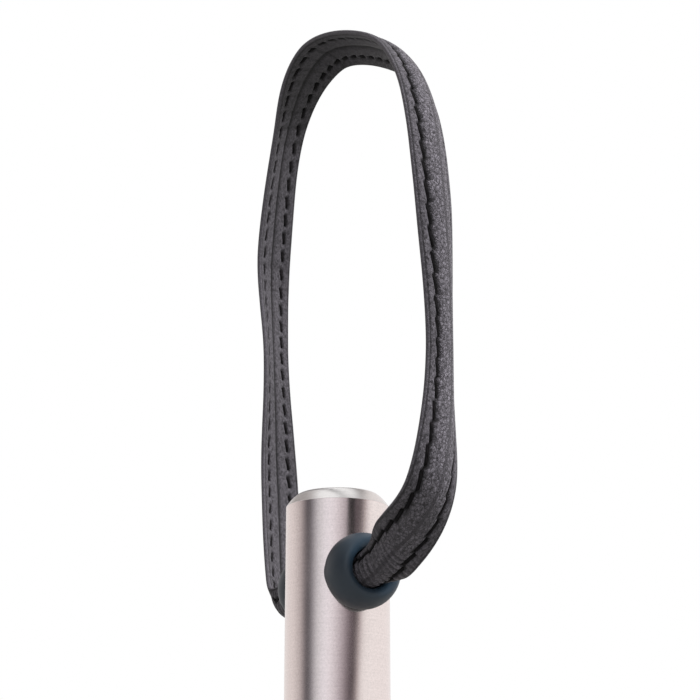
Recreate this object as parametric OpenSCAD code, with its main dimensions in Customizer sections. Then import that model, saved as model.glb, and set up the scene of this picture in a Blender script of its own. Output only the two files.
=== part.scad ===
// Riding crop with a metal tube handle, a leather wrist loop through a grommeted cross hole,
// a braided tapering shaft and a folded leather keeper.
// +Z runs up the handle to its butt, Y along the cross hole, origin in the middle of the grip.

/* [Handle tube] */
// Outside diameter of the handle tube
handle_d = 25; // [22:0.5:32]
// Wall of the handle tube
handle_wall = 1.5; // [1:0.25:2]
// Height of the tube's upper rim above the middle of the grip
rim_z = 100; // [90:5:130]
// Depth of the tube's lower end below the middle of the grip
tube_below = 100; // [75:5:130]
// Length of the plain grip between its two turned grooves
grip_len = 96; // [80:1:120]
// Width of a grip groove
groove_w = 1.2; // [0.8:0.2:2]
// Depth of a grip groove
groove_depth = 0.35; // [0.2:0.05:0.5]

/* [Butt cap] */
// Height of the cap above the tube's rim
cap_rise = 3.2; // [2:0.1:6]
// How far the cap's flat top is set in from the tube's outside
cap_inset = 3; // [1.5:0.1:5]
// Radius of the rounded shoulder
shoulder_r = 5; // [4.5:0.5:9]
// Length of the cap's spigot inside the tube
cap_spigot_len = 6; // [4:0.5:7]
// Play of the glued spigots in the tube, on the radius
glue_gap = 0.05; // [0.02:0.01:0.15]

/* [Cross hole and grommets] */
// Distance of the cross hole's centre below the tube's rim
hole_drop = 17.5; // [16:0.5:30]
// Inside diameter of the grommets
bore_d = 9.4; // [9:0.2:11]
// Wall of a grommet's neck, where it passes through the tube
neck_wall = 1.8; // [1.4:0.1:2.2]
// Width of the ball-shaped head beyond the hole in the tube
head_w = 2.4; // [2:0.1:3]
// How far the middle of the ball stands out from the tube's surface
head_stand = 1.9; // [1:0.1:3]
// Width of the lip inside the tube beyond the hole
lip_w = 1.3; // [0.8:0.1:1.5]
// Thickness of the inner lip
lip_t = 1.2; // [0.8:0.1:1.6]

/* [Wrist strap] */
// Width of the strap
strap_w = 14; // [12:0.5:16]
// Thickness of the strap in the middle of its width
strap_t = 2.4; // [2:0.1:2.8]
// Thickness of the strap at its sewn edges
edge_t = 1.5; // [1.4:0.1:1.9]
// Thickness of the leather that is turned round the filler
leather_t = 0.65; // [0.5:0.05:0.7]
// Distance of a stitch row from the strap's edge
stitch_inset = 3; // [2:0.25:4]
// Width of the sewing thread
thread_w = 0.6; // [0.4:0.1:0.8]
// Height of the thread above the leather
thread_h = 0.25; // [0.15:0.05:0.4]
// Play between a thread row and the leather
thread_gap = 0.08; // [0.06:0.01:0.12]
// Play of the rolled strap in the grommets, on the radius
roll_gap = 0.3; // [0.2:0.05:0.6]
// Length of the strap that stays rolled, from each of its ends
rolled_len = 14; // [13:0.5:24]
// Length over which the strap opens out
opening_len = 22; // [20:1:36]
// Length of the crimped ferrule inside the tube
ferrule_len = 11; // [8:0.5:13]
// Wall of the ferrule
ferrule_wall = 1; // [0.6:0.1:1.4]

/* [Shaft] */
// Length of the shaft between the collar and the keeper's binding
shaft_len = 370; // [300:10:450]
// Diameter of the rod where it leaves the collar
rod_d = 7; // [6:0.25:9]
// Diameter of the rod at its tip
rod_tip_d = 3.6; // [3:0.2:5]
// Thickness of the braided cover
cover_t = 0.9; // [0.6:0.1:1.4]
// Length of the collar's spigot inside the tube
collar_spigot_len = 20; // [14:1:30]
// Height of the collar's straight band
collar_band = 4; // [2:0.5:8]
// Height of the collar's cone
collar_cone = 20; // [12:1:30]
// Wall of the collar at its narrow end
collar_lip = 1.6; // [1.2:0.1:2.4]
// Diameter of the cross pin
pin_d = 3; // [2.5:0.25:4]
// Thickness of the thread in both bindings
binding_d = 0.9; // [0.6:0.1:1.2]
// Number of turns in the upper binding
upper_turns = 18; // [10:1:26]

/* [Keeper] */
// Width of the keeper's tongue
keeper_w = 22; // [18:1:24]
// Length of the tongue from its hinge line to its folded end
keeper_len = 72; // [55:1:100]
// Thickness of one leaf of the tongue
leaf_t = 2; // [1.5:0.1:2.6]
// Gap between the two leaves
leaf_gap = 0.3; // [0.2:0.1:0.6]
// Width by which the bound leather is wider than thick
root_flat = 1.6; // [0.8:0.2:3]
// Length of the leather that is bound to the rod
root_len = 24; // [18:1:32]
// Distance of the tongue's stitch row from its edge
keeper_inset = 2.4; // [1.8:0.2:4]
// Play between the bound leather and the tongue's rounded end
hinge_gap = 0.4; // [0.3:0.1:0.8]

/* [Hidden] */
$fn = 96;

handle_r = handle_d / 2;
inner_r = handle_r - handle_wall;
hole_z = rim_z - hole_drop;
past = 1;                                  // overrun of a cutting solid

// Collar, shaft and keeper stations, all measured down from the tube's lower end
rod_cut_back = 3;                          // from the rod's tip to the end of the bound leather
cover_seat = 5;                            // depth of the cover inside the collar's mouth
tube_end_z = -tube_below;
pin_z = tube_end_z + collar_spigot_len / 2;
rod_top_z = tube_end_z + collar_spigot_len;
cone_z = tube_end_z - collar_band;
collar_end_z = cone_z - collar_cone;
tip_binding_z = collar_end_z - shaft_len;
root_end_z = tip_binding_z - root_len;
rod_end_z = root_end_z + rod_cut_back;
tongue_t = 2 * leaf_t + leaf_gap;
hinge_z = root_end_z - hinge_gap - tongue_t / 2;
rod_r = rod_d / 2;
rod_tip_r = rod_tip_d / 2;
cover_tip_r = rod_tip_r + cover_t;
collar_end_r = rod_r + cover_t + collar_lip;
root_t = 2 * (cover_tip_r + leaf_t);
root_w = root_t + root_flat;

// Grommet: the ball's radius, its middle and the crest of the rounded rim at its mouth
bore_r = bore_d / 2;
wall_hole_d = bore_d + 2 * neck_wall;
lip_d = wall_hole_d + 2 * lip_w;
rim_r = 1.4;                               // radius of the mouth's rounded rim
head_r = wall_hole_d / 2 + head_w;
head_y = handle_r + head_stand;
rim_y = head_y + sqrt(pow(head_r - rim_r, 2) - pow(bore_r + rim_r, 2));
mouth_out = rim_y + rim_r;

// Strap: rolled into a gutter through the grommets, slightly hollow along the loop
crown = strap_t - edge_t;
roll_r = bore_d / 2 - roll_gap - crown - edge_t / 2;
roll_turn = strap_w / 2 / roll_r * 180 / PI;      // half angle of the rolled gutter
flat_turn = 22;                                   // half angle of the gutter along the loop
flat_r = strap_w / 2 / flat_turn * 180 / PI;
sag = 0.6 * flat_r * (1 - cos(flat_turn));        // from the gutter's bottom to the route along the loop
end_gap = 0.5;                                    // from the middle of the tube to a strap end
throat_depth = 8;                                 // from the head's rim in to the route's straight throat
mouth_depth = 1;                                  // from the head's rim in to the route's mouth
rolled_turn = -40;                                // turn of the rolled strap about the cross hole
steps = 4;                                        // stations in each stretch of the route

// Centre line of the strap about the cross hole, with the turn of its width about that line in degrees
loop = [
    [0, -30, 2, -48],
    [1.5, -47.5, 14.5, 11],
    [3.5, -48.5, 43, 41],
    [-0.5, -54, 80.5, 27],
    [0, -44.5, 110.5, 28],
    [1.5, -21, 131, 33],
    [-1.5, 7.5, 141.5, 11],
    [-0.5, 33, 131, -33],
    [1, 47.5, 98.5, -29],
    [1.5, 46, 66.5, -41],
    [3, 46, 33.5, -24],
    [0, 33.5, 0, -30]
];
throat_y = mouth_out - throat_depth;
mouth_y = mouth_out - mouth_depth;
function rolled_at(y) = [roll_r * sin(rolled_turn), y, -roll_r * cos(rolled_turn), rolled_turn];
route = concat(
    [rolled_at(-end_gap), rolled_at(-throat_y), rolled_at(-mouth_y)],
    loop,
    [rolled_at(mouth_y), rolled_at(throat_y), rolled_at(end_gap)]
);

function spline(a, b, c, d, t) =
    (2 * b + (c - a) * t + (2 * a - 5 * b + 4 * c - d) * t * t + (3 * b - a - 3 * c + d) * t * t * t) / 2;
function slope(a, b, c, d, t) =
    ((c - a) + 2 * (2 * a - 5 * b + 4 * c - d) * t + 3 * (3 * b - a - 3 * c + d) * t * t) / 2;
function knot(i) =
    i < 0 ? 2 * route[0] - route[1] :
    i >= len(route) ? 2 * route[len(route) - 1] - route[len(route) - 2] :
    route[i];
function along(s, f) = let (i = min(floor(s), len(route) - 2)) f == "point" ?
    spline(knot(i - 1), knot(i), knot(i + 1), knot(i + 2), s - i) :
    slope(knot(i - 1), knot(i), knot(i + 1), knot(i + 2), s - i);
function xyz(v) = [v[0], v[1], v[2]];
function unit(v) = v / norm(v);
function smooth(x) = let (c = min(max(x, 0), 1)) c * c * (3 - 2 * c);
function run(list, i) = i == 0 ? 0 : run(list, i - 1) + norm(list[i] - list[i - 1]);

stations = (len(route) - 1) * steps + 1;
centres = [for (k = [0 : stations - 1]) xyz(along(k / steps, "point"))];
runs = [for (k = [0 : stations - 1]) run(centres, k)];
strap_len = runs[stations - 1];

// A station is its centre, the way of the strap's width, the way to its inner face, and its gutter radius
function station(k) =
    let (s = k / steps,
         ahead = unit(xyz(along(s, "slope"))),
         turn = along(s, "point")[3],
         level = unit([1, 0, 0] - ahead[0] * ahead),
         across = cos(turn) * level + sin(turn) * cross(ahead, level),
         from_end = min(runs[k], strap_len - runs[k]),
         inward = cross(ahead, across),
         rolled = 1 - smooth((from_end - rolled_len) / opening_len),
         half_turn = flat_turn + (roll_turn - flat_turn) * rolled)
    [centres[k] - (1 - rolled) * sag * inward, across, inward, strap_w / 2 / half_turn * 180 / PI];
frames = [for (k = [0 : stations - 1]) station(k)];

// Place a point of the strap's section, u across it and h towards its inner face, at a station
function place(f, p) = let (a = p[0] / f[3] * 180 / PI)
    f[0] + f[3] * f[2] + (f[3] - p[1]) * (sin(a) * f[1] - cos(a) * f[2]);
function ring(f, section) = [for (p = section) place(f, p)];

// Outlines of the strap's section: the outer face, an edge, the inner face and the other edge.
// The outer face is padded between its stitch rows; the inner face dips where the leather edges meet.
edge_r = 0.5;                              // rounding of the strap's edges
seam_w = 0.7;                              // half width of the dip where the leather edges meet
seam_dip = 0.3;
filler_play = 0.4;                         // from the filler's edge to the stitch row
filler_top = 0.95;                         // part of the filler's half width that is flat
row_u = strap_w / 2 - stitch_inset;
row_out = row_u + thread_w / 2;
row_in = row_u - thread_w / 2;
pad_u = row_in / 2;
face_end = strap_w / 2 - edge_r;
function mirrored(side, middle) = concat(
    [for (k = [len(side) - 1 : -1 : 0]) [-side[k][0], side[k][1]]], [middle], side
);
function reversed(list) = [for (k = [len(list) - 1 : -1 : 0]) list[k]];
function closed_section(outer, inner, half_w, half_t) = concat(
    outer, [[half_w, -half_t], [half_w, half_t]],
    reversed(inner), [[-half_w, half_t], [-half_w, -half_t]]
);
edge_h = edge_t / 2;
leather_section = closed_section(
    mirrored([[pad_u, -edge_h - 0.8 * crown], [row_in, -edge_h], [row_out, -edge_h], [face_end, -edge_h]],
        [0, -edge_h - crown]),
    mirrored([[seam_w, edge_h], [row_in, edge_h], [row_out, edge_h], [face_end, edge_h]],
        [0, edge_h - seam_dip]),
    strap_w / 2, edge_h / 2
);
filler_u = row_in - filler_play;
filler_h = edge_h - leather_t;
filler_end = filler_top * filler_u;
filler_section = closed_section(
    mirrored([[pad_u / 2, -filler_h - 0.9 * crown], [pad_u, -filler_h - 0.7 * crown],
        [0.8 * filler_u, -filler_h - 0.2 * crown], [filler_end, -filler_h]], [0, -filler_h - crown]),
    mirrored([for (k = [1 : 4]) [filler_end * k / 4, filler_h]], [0, filler_h]),
    filler_u, filler_h / 2
);
function pair(a, b, c, d) = [[a, b, c], [a, c, d]];
function skin(rings, m, base) = [
    for (k = [0 : rings - 2], j = [0 : m - 1])
        let (a = base + k * m + j, b = base + k * m + (j + 1) % m)
            for (f = pair(a, b, b + m, a + m)) f
];
function flip(faces) = [for (f = faces) [f[2], f[1], f[0]]];
function band(m, outer, inner) = [
    for (j = [0 : m - 1]) let (n = (j + 1) % m)
        for (f = pair(outer + j, inner + j, inner + n, outer + n)) f
];
// Closing face of a section whose ring runs out along one face and back along the other
function end_face(m, base) = let (n = m / 2) concat(
    [for (j = [0 : n - 2]) for (f = pair(base + j, base + m - 3 - j, base + m - 4 - j, base + j + 1)) f],
    [for (f = pair(base + m - 1, base + m - 2, base + m - 3, base)) f]
);

module sweep(section, from, to) {
    m = len(section);
    points = [for (k = [from : to]) each ring(frames[k], section)];
    rings = to - from + 1;
    last = (rings - 1) * m;
    flat = [for (j = [m - 1 : -1 : 0]) j];
    polyhedron(points, concat(skin(rings, m, 0), [flat], [[for (j = [0 : m - 1]) last + j]]));
}

module handle_tube() {
    color("#c9c5c3")
    difference() {
        translate([0, 0, tube_end_z]) cylinder(h = rim_z - tube_end_z, r = handle_r);
        translate([0, 0, tube_end_z - past]) cylinder(h = rim_z - tube_end_z + 2 * past, r = inner_r);
        translate([0, 0, hole_z]) rotate([90, 0, 0])
            cylinder(h = handle_d + 2 * past, d = wall_hole_d, center = true);
        for (end = [-1, 1]) translate([0, 0, end * (grip_len + groove_w) / 2]) grip_groove();
        pin_hole();
    }
}

module grip_groove() {
    difference() {
        cylinder(h = groove_w, r = handle_r + past, center = true);
        cylinder(h = groove_w + 2 * past, r = handle_r - groove_depth, center = true);
    }
}

module pin_hole() {
    translate([0, 0, pin_z]) rotate([0, 90, 0])
        cylinder(h = handle_d + 2 * past, d = pin_d, center = true, $fn = 32);
}

// Profile of the cap's head: an arc from the tube's outside up to the flat top
top_r = handle_r - cap_inset;
chord = [top_r - handle_r, cap_rise];
chord_mid = [(top_r + handle_r) / 2, cap_rise / 2];
sagitta = sqrt(shoulder_r * shoulder_r - norm(chord) * norm(chord) / 4);
shoulder_c = chord_mid - sagitta * [chord[1], -chord[0]] / norm(chord);
arc_from = atan2(-shoulder_c[1], handle_r - shoulder_c[0]);
arc_to = atan2(cap_rise - shoulder_c[1], top_r - shoulder_c[0]);
shoulder = [for (t = [0 : 0.125 : 1]) let (a = arc_from + t * (arc_to - arc_from))
    shoulder_c + shoulder_r * [cos(a), sin(a)]];

module butt_cap() {
    color("#c9c5c3")
    translate([0, 0, rim_z]) {
        rotate_extrude() polygon(concat([[0, 0]], shoulder, [[0, cap_rise]]));
        translate([0, 0, -cap_spigot_len]) cylinder(h = cap_spigot_len, r = inner_r - glue_gap);
    }
}

// Grommet: a ball-shaped head outside the tube, a neck through its wall and a lip inside
module head() {
    rim_angle = atan2(rim_y - head_y, bore_r + rim_r);
    rim = [for (a = [180 : -15 : rim_angle]) [bore_r + rim_r + rim_r * cos(a), rim_y + rim_r * sin(a)]];
    ball = [for (t = [0 : 0.1 : 1]) let (a = rim_angle - t * (rim_angle + 60))
        [head_r * cos(a), head_y + head_r * sin(a)]];
    rotate([90, 0, 0]) rotate_extrude() polygon(concat([[0, head_y], [0, rim_y]], rim, ball));
}

module disc(d, to_r) {
    intersection() {
        rotate([90, 0, 0]) cylinder(h = mouth_out, d = d);
        cylinder(h = 2 * d, r = to_r, center = true);
    }
}

module grommet(side) {
    color("#26292e")
    translate([0, 0, hole_z]) rotate([0, 0, side > 0 ? 180 : 0]) difference() {
        union() {
            difference() {
                head();
                cylinder(h = 4 * head_r, r = handle_r, center = true);
            }
            difference() {
                union() {
                    disc(wall_hole_d, head_y);
                    disc(lip_d, inner_r);
                }
                cylinder(h = 4 * head_r, r = inner_r - lip_t, center = true);
            }
        }
        rotate([90, 0, 0]) cylinder(h = mouth_out + past, r = bore_r);
    }
}

module strap_leather() {
    m = len(leather_section);
    points = concat(
        [for (f = frames) each ring(f, leather_section)],
        [for (f = frames) each ring(f, filler_section)]
    );
    inside = stations * m;
    last = (stations - 1) * m;
    color("#343337")
    translate([0, 0, hole_z]) polyhedron(points, concat(
        skin(stations, m, 0),
        flip(skin(stations, m, inside)),
        flip(band(m, 0, inside)),
        band(m, last, inside + last)
    ));
}

module strap_filler() {
    m = len(filler_section);
    last = (stations - 1) * m;
    color("#4a4648")
    translate([0, 0, hole_z]) polyhedron([for (f = frames) each ring(f, filler_section)],
        concat(skin(stations, m, 0), end_face(m, 0), flip(end_face(m, last))));
}

// The thread rows start where the strap has left the grommets
clear_of_mouth = 3 * steps;
module strap_stitching() {
    color("#1c1c1f")
    translate([0, 0, hole_z]) for (row = [-1, 1], face = [-1, 1]) {
        under = edge_h + thread_gap;
        low = min(face * under, face * (under + thread_h));
        high = low + thread_h;
        left = row * row_u - thread_w / 2;
        right = left + thread_w;
        sweep([[left, low], [right, low], [right, high], [left, high]],
            clear_of_mouth, stations - 1 - clear_of_mouth);
    }
}

module strap_ferrule() {
    roll_out = bore_r - roll_gap + glue_gap;
    color("#8d8f92")
    translate([0, 0, hole_z]) rotate([90, 0, 0])
    difference() {
        cylinder(h = ferrule_len, r = roll_out + ferrule_wall, center = true);
        cylinder(h = ferrule_len + 2 * past, r = roll_out, center = true);
        for (end = [-1, 1]) translate([0, 0, end * ferrule_len / 4]) rotate_extrude()
            translate([roll_out + ferrule_wall, 0]) circle(r = ferrule_wall / 2, $fn = 24);
    }
}

module shaft_collar() {
    color("#b9b6b4")
    difference() {
        union() {
            translate([0, 0, tube_end_z]) cylinder(h = collar_spigot_len, r = inner_r - glue_gap);
            translate([0, 0, cone_z]) cylinder(h = collar_band, r = handle_r);
            translate([0, 0, collar_end_z]) cylinder(h = collar_cone, r1 = collar_end_r, r2 = handle_r);
        }
        translate([0, 0, collar_end_z - past])
            cylinder(h = tube_end_z + collar_spigot_len - collar_end_z + 2 * past, r = rod_r + glue_gap);
        translate([0, 0, collar_end_z - past])
            cylinder(h = cover_seat + past, r = rod_r + cover_t + glue_gap);
        pin_hole();
    }
}

module collar_pin() {
    flush_len = 2 * sqrt(handle_r * handle_r - pin_d * pin_d / 4);
    color("#8d8f92")
    translate([0, 0, pin_z]) rotate([0, 90, 0])
        cylinder(h = flush_len, d = pin_d - 2 * glue_gap, center = true, $fn = 32);
}

// The rod is straight inside the collar and tapers from the collar's mouth to its tip
module shaft_core() {
    color("#d8d2b4")
    difference() {
        union() {
            translate([0, 0, collar_end_z]) cylinder(h = rod_top_z - collar_end_z, r = rod_r);
            translate([0, 0, rod_end_z]) cylinder(h = collar_end_z - rod_end_z, r1 = rod_tip_r, r2 = rod_r);
        }
        pin_hole();
    }
}

module shaft_cover() {
    color("#1b1b1e")
    difference() {
        union() {
            translate([0, 0, collar_end_z]) cylinder(h = cover_seat, r = rod_r + cover_t);
            translate([0, 0, rod_end_z])
                cylinder(h = collar_end_z - rod_end_z, r1 = cover_tip_r, r2 = rod_r + cover_t);
        }
        translate([0, 0, collar_end_z]) cylinder(h = cover_seat + past, r = rod_r + glue_gap);
        translate([0, 0, rod_end_z])
            cylinder(h = collar_end_z - rod_end_z, r1 = rod_tip_r + glue_gap, r2 = rod_r + glue_gap);
    }
}

function cover_r(z) = let (part = (z - rod_end_z) / (collar_end_z - rod_end_z))
    cover_tip_r + (rod_r + cover_t - cover_tip_r) * part;

// Whipped thread: a sleeve whose outside is a row of half rounds
module upper_binding() {
    length = upper_turns * binding_d;
    bind_r = cover_r(collar_end_z) + glue_gap;
    crowns = [for (k = [0 : upper_turns - 1], a = [-90 : 30 : 60])
        [bind_r + binding_d / 2 * (1 + cos(a)), (k + 0.5) * binding_d + binding_d / 2 * sin(a)]];
    color("#141416")
    translate([0, 0, collar_end_z - length]) rotate_extrude()
        polygon(concat([[bind_r, 0]], crowns, [[bind_r + binding_d / 2, length], [bind_r, length]]));
}

module stadium(w, t) {
    square([w - t, t], center = true);
    for (side = [-1, 1]) translate([side * (w - t) / 2, 0]) circle(d = t);
}

module keeper_root() {
    color("#2e2d30")
    translate([0, 0, root_end_z]) difference() {
        linear_extrude(root_len) stadium(root_w, root_t);
        translate([0, 0, rod_cut_back]) cylinder(h = root_len, r = cover_r(tip_binding_z) + glue_gap);
    }
}

wrap_part = 0.75;                          // part of the bound leather that the thread covers
module keeper_binding() {
    tip_wrap_len = wrap_part * root_len;
    color("#141416")
    translate([0, 0, tip_binding_z - tip_wrap_len]) linear_extrude(tip_wrap_len) difference() {
        stadium(root_w + 2 * binding_d, root_t + 2 * binding_d);
        stadium(root_w, root_t);
    }
}

// Outline of the tongue, drawn inset all round: shoulders at the top, rounded corners at the free end
corner_r = 5;
shoulder_len = 12;                         // from the hinge line to the tongue's full width
fold_len = 6;                              // solid leather at the tongue's folded end
function tongue_outline(inset) = let (
    w = keeper_w / 2 - inset, top = root_w / 2 - inset, low = -keeper_len + inset, r = corner_r - inset,
    head = tongue_t / 2 - inset
) concat(
    [[top, head], [top, -inset], [w, -shoulder_len]],
    [for (a = [0 : -15 : -90]) [w - r + r * cos(a), low + r + r * sin(a)]],
    [for (a = [-90 : -15 : -180]) [-w + r + r * cos(a), low + r + r * sin(a)]],
    [[-w, -shoulder_len], [-top, -inset], [-top, head]]
);

module standing(depth) {
    rotate([90, 0, 0]) linear_extrude(depth, center = true) children();
}

// Side profile of the folded tongue: rounded at the hinge line and at the fold, slit between its leaves
module keeper_tongue() {
    low_round = tongue_t / 2 - keeper_len;
    color("#2e2d30")
    translate([0, 0, hinge_z]) difference() {
        intersection() {
            standing(tongue_t) polygon(tongue_outline(0));
            rotate([90, 0, 90]) linear_extrude(keeper_w, center = true) {
                circle(d = tongue_t);
                translate([-tongue_t / 2, low_round]) square([tongue_t, -low_round]);
                translate([0, low_round]) circle(d = tongue_t);
            }
        }
        translate([-keeper_w, -leaf_gap / 2, fold_len - keeper_len])
            cube([2 * keeper_w, leaf_gap, keeper_len - fold_len - shoulder_len]);
    }
}

module keeper_stitching() {
    color("#1c1c1f")
    translate([0, 0, hinge_z]) for (side = [-1, 1]) translate([0, side * (tongue_t + thread_h) / 2, 0])
        standing(thread_h) difference() {
            polygon(tongue_outline(keeper_inset));
            polygon(tongue_outline(keeper_inset + thread_w));
        }
}

handle_tube();
butt_cap();
grommet(-1);  // front_grommet
grommet(1);  // rear_grommet
strap_leather();
strap_filler();
strap_stitching();
strap_ferrule();
shaft_collar();
collar_pin();
shaft_core();
shaft_cover();
upper_binding();
keeper_root();
keeper_binding();
keeper_tongue();
keeper_stitching();
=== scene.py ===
"""The looks of a riding crop, built around its packed construction model."""
import math

import bmesh
import bpy
import numpy as np
from mathutils import Matrix, Vector, noise


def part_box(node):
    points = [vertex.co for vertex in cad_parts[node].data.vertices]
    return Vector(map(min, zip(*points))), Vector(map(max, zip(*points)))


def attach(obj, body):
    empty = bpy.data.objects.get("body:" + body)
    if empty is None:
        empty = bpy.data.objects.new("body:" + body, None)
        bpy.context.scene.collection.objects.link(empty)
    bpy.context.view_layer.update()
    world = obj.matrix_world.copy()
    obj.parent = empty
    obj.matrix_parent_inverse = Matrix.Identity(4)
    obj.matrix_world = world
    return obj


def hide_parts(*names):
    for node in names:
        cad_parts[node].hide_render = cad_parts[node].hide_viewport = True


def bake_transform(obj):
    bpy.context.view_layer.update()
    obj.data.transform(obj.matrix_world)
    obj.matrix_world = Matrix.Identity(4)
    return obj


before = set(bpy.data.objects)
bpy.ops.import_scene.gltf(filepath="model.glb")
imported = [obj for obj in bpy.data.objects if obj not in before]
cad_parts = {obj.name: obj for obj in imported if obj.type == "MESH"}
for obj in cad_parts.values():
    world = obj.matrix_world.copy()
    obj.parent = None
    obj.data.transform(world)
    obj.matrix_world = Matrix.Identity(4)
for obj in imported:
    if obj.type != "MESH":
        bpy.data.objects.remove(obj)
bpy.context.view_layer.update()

bl_info = {
    "name": "Riding Crop",
    "version": (1, 0, 0),
    "blender": (4, 5, 0),
    "location": "View3D > Sidebar > Riding Crop",
    "description": "Builds the handle, wrist loop, shaft and keeper of a riding crop",
    "category": "Object",
}

MM = 0.001
TURN = 2 * math.pi
WELD = 0.004 * MM            # points of an outline closer than this become one
PLAY = 0.05 * MM             # gap between a fitted piece and its seat

# Places that the construction model fixes
TUBE_LOW, TUBE_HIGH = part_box("handle_tube")
CAP_LOW, CAP_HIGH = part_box("butt_cap")
COLLAR_LOW, COLLAR_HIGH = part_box("shaft_collar")
GROMMET_LOW, GROMMET_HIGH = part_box("front_grommet")
COVER_LOW, COVER_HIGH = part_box("shaft_cover")
PIN_LOW, PIN_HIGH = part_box("collar_pin")
WHIPPING_LOW, WHIPPING_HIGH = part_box("upper_binding")
ROOT_LOW, ROOT_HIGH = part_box("keeper_root")
TIP_WHIPPING_LOW, TIP_WHIPPING_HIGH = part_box("keeper_binding")
TONGUE_LOW, TONGUE_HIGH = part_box("keeper_tongue")
TUBE_R = TUBE_HIGH.x
HOLE_Z = (GROMMET_LOW.z + GROMMET_HIGH.z) / 2        # height of the cross hole
HEAD_R = (GROMMET_HIGH.z - GROMMET_LOW.z) / 2        # radius of a grommet's ball-shaped head
MOUTH_Y = -GROMMET_LOW.y                             # how far a grommet's mouth is from the handle's axis


def linear(hex_colour):
    """An sRGB hex colour as linear red, green and blue."""
    parts = [int(hex_colour[i:i + 2], 16) / 255 for i in (1, 3, 5)]
    return tuple(c / 12.92 if c <= 0.04045 else ((c + 0.055) / 1.055) ** 2.4 for c in parts)


def length(name, description, millimetres):
    """A length property, given in millimetres."""
    return bpy.props.FloatProperty(
        name=name, description=description, default=millimetres * MM, min=0, unit="LENGTH", precision=5)


def colour(name, description, hex_colour):
    """A colour property, given as sRGB hex."""
    return bpy.props.FloatVectorProperty(
        name=name, description=description, default=linear(hex_colour), min=0, max=1, subtype="COLOR")


class CropHandleSettings(bpy.types.PropertyGroup):
    """Sizes and colours of the metal handle and its grommets."""
    wall: length("Tube wall", "Wall of the handle tube", 1.5)
    grip: length("Grip length", "Length between the two turned grooves", 96)
    groove_width: length("Groove width", "Width of a grip groove", 1.2)
    groove_depth: length("Groove depth", "Depth of a grip groove", 0.35)
    edge: length("Broken edge", "Chamfer on the turned ends", 0.15)
    hole: length("Cross hole", "Diameter of the hole in the tube's wall", 13)
    bore: length("Grommet bore", "Inside diameter of the grommets", 9.4)
    head_stand: length("Head stand", "How far the middle of a grommet's ball stands out from the tube", 1.9)
    rim: length("Mouth rim", "Radius of a grommet's rounded rim", 1.4)
    lip: length("Inner lip", "Thickness of a grommet's lip inside the tube", 1.2)
    lip_width: length("Lip width", "Width of the inner lip beyond the hole", 1.3)
    shoulder: length("Cap shoulder", "Radius of the cap's rounded shoulder", 9)
    steel: colour("Tube steel", "Satin stainless steel of the tube", "#ebe0dd")
    cap_steel: colour("Cap steel", "Turned stainless steel of the cap and collar", "#f3f0ef")
    rubber: colour("Rubber", "Moulded rubber of the grommets", "#18242e")


class CropStrapSettings(bpy.types.PropertyGroup):
    """Sizes and colours of the wrist loop."""
    width: length("Strap width", "Width of the strap", 14)
    thickness: length("Middle thickness", "Thickness in the middle of the width", 2.4)
    edge_thickness: length("Edge thickness", "Thickness at the sewn edges", 1.5)
    row_inset: length("Row inset", "Distance of a stitch row from the edge", 3)
    pitch: length("Stitch pitch", "Distance from one stitch to the next", 5)
    slant: length("Stitch slant", "How far a stitch moves across the strap along its length", 0.7)
    thread: length("Thread", "Diameter of the sewing thread", 0.7)
    grain: length("Grain", "Distance between the leather's wrinkles", 0.65)
    leather: colour("Leather", "Black bridle leather", "#38363a")
    thread_colour: colour("Thread colour", "Bonded polyester thread", "#0b0a0b")


class CropShaftSettings(bpy.types.PropertyGroup):
    """Sizes and colours of the braided shaft and its bindings."""
    lead: length("Braid lead", "Height of one turn of a braid strand", 24)
    strand: length("Strand thickness", "Thickness of a braid strand", 0.42)
    whipping: length("Whipping thread", "Diameter of the binding thread", 0.9)
    braid: colour("Braid", "Plaited black polyester", "#1a1a1c")
    whipping_colour: colour("Whipping colour", "Waxed black binding thread", "#101012")


class CropKeeperSettings(bpy.types.PropertyGroup):
    """Sizes and colours of the leather keeper."""
    leaf: length("Leaf thickness", "Thickness of one leaf", 2)
    gap: length("Leaf gap", "Gap between the two leaves", 0.3)
    corner: length("Corner radius", "Radius of the free end's corners", 5)
    row_inset: length("Row inset", "Distance of the stitches from the edge", 2.4)
    pitch: length("Stitch pitch", "Distance from one stitch to the next", 3.6)
    leather: colour("Keeper leather", "Black harness leather", "#2b292c")


class CropStageSettings(bpy.types.PropertyGroup):
    """The floor, the light and the camera."""
    lens: bpy.props.FloatProperty(name="Lens", description="Focal length", default=86.43, unit="CAMERA")
    camera: bpy.props.FloatVectorProperty(
        name="Camera", description="Place of the camera", default=(-0.1624, -0.3659, 0.0162), subtype="XYZ")
    azimuth: bpy.props.FloatProperty(
        name="Azimuth", description="Heading of the camera from straight ahead",
        default=math.radians(-24.36), subtype="ANGLE")
    elevation: bpy.props.FloatProperty(
        name="Elevation", description="Height of the camera above the horizon; below zero it looks up",
        default=math.radians(-17.21), subtype="ANGLE")
    floor: colour("Floor", "Pale studio floor", "#bdbcba")
    key: bpy.props.FloatProperty(
        name="Key light", description="Strength of the large soft light in W/m2", default=9.4)
    fill: bpy.props.FloatProperty(
        name="Fill light", description="Strength of the low soft light in W/m2", default=1.75)
    light: bpy.props.FloatProperty(name="Light", description="Strength of the soft surround", default=1.0)


# ---------------------------------------------------------------- modelling by hand

def deselect():
    """Leaves edit mode and deselects everything."""
    if bpy.context.object and bpy.context.object.mode != "OBJECT":
        bpy.ops.object.mode_set(mode="OBJECT")
    bpy.ops.object.select_all(action="DESELECT")


def activate(obj):
    """Makes obj the only selected and the active object."""
    deselect()
    obj.select_set(True)
    bpy.context.view_layer.objects.active = obj


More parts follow.
